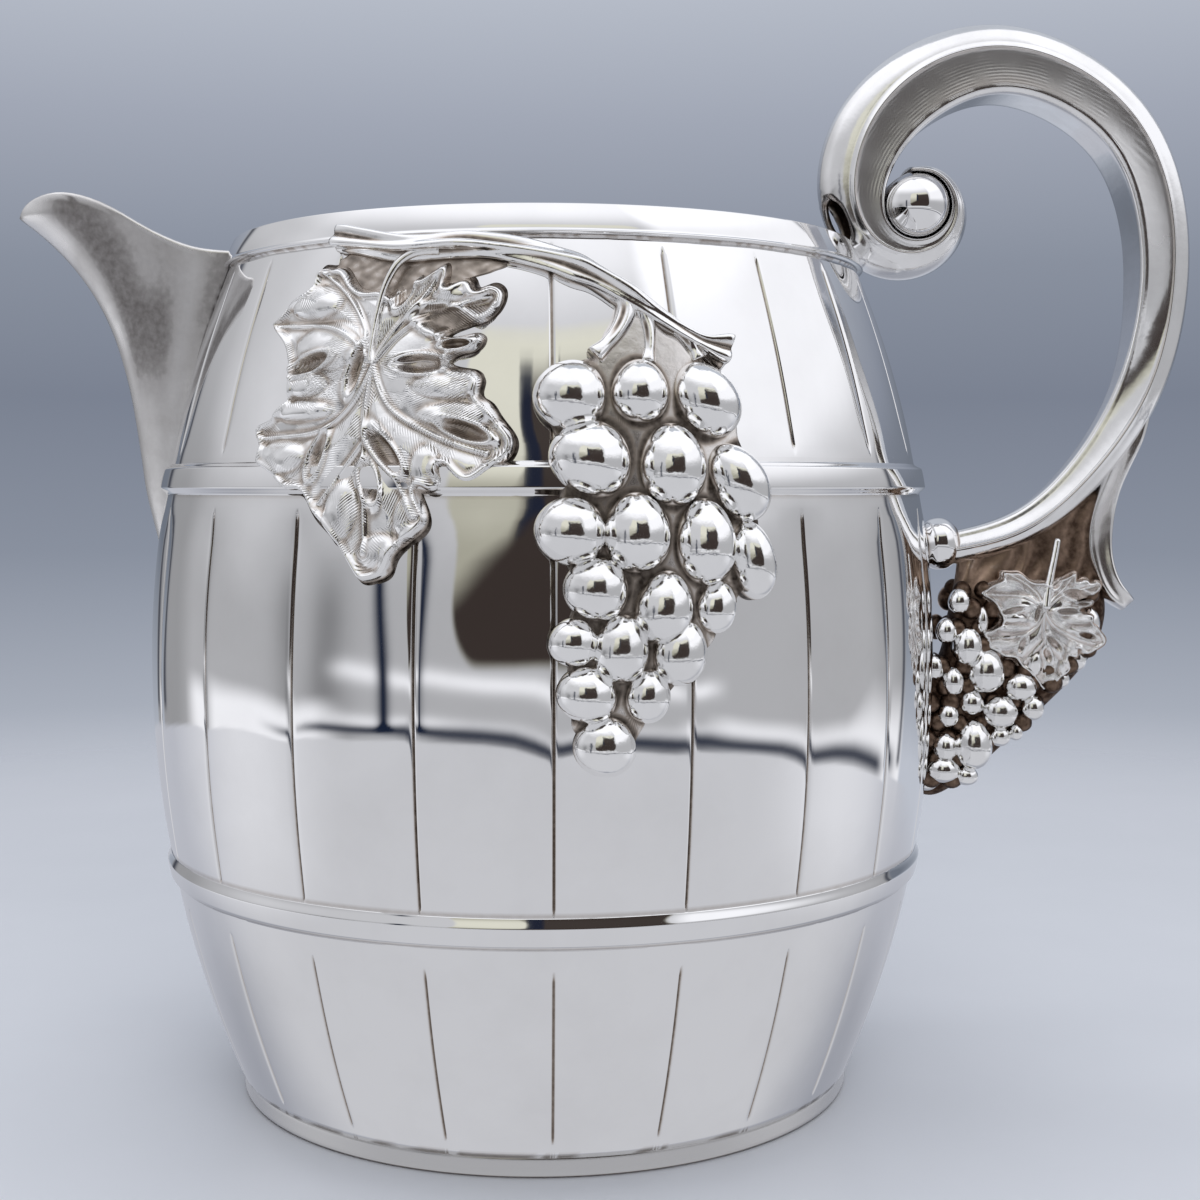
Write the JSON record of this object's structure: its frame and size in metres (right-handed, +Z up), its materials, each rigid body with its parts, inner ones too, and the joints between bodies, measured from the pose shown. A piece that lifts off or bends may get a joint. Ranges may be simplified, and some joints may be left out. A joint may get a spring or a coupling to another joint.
{
  "type": "wine jug",
  "caption": "Barrel-shaped silver wine jug with an open beak spout, a hollow scroll handle and cast vine leaf and grape ornament.",
  "frame": {"origin": "middle of the flat resting face, on the barrel's axis", "axes": "+Z up along the barrel's axis, +X towards the handle and -X towards the spout, -Y towards the front ornament"},
  "size_m": [0.212, 0.1482, 0.1908],
  "materials": {
    "polished_silver": "mirror-polished silver with fine wear lines",
    "worn_silver": "polished silver with cloudy tarnish",
    "cast_silver": "cast and chased silver, bright on top, brown oxide in the recesses",
    "handle_silver": "polished silver with satin tool marks on the flat sides"
  },
  "bodies": {
    "root": {"barrel_wall": "polished_silver", "barrel_floor": "polished_silver", "foot_ring": "polished_silver", "rim_band": "polished_silver", "upper_hoop": "polished_silver", "lower_hoop": "polished_silver", "pouring_spout": "worn_silver", "volute_ball": "polished_silver", "handle_knuckle": "polished_silver", "handle_spur": "handle_silver", "vine_leaf_front": "cast_silver", "vine_leaf_back": "cast_silver", "vine_branch_front": "cast_silver", "vine_branch_back": "cast_silver", "grape_bunch_front": "cast_silver", "grape_bunch_back": "cast_silver", "handle_half_front": "handle_silver", "handle_half_back": "handle_silver", "handle_bunch_front": "cast_silver", "handle_bunch_back": "cast_silver", "handle_leaf_front": "cast_silver", "handle_leaf_back": "cast_silver"}
  },
  "joints": []
}
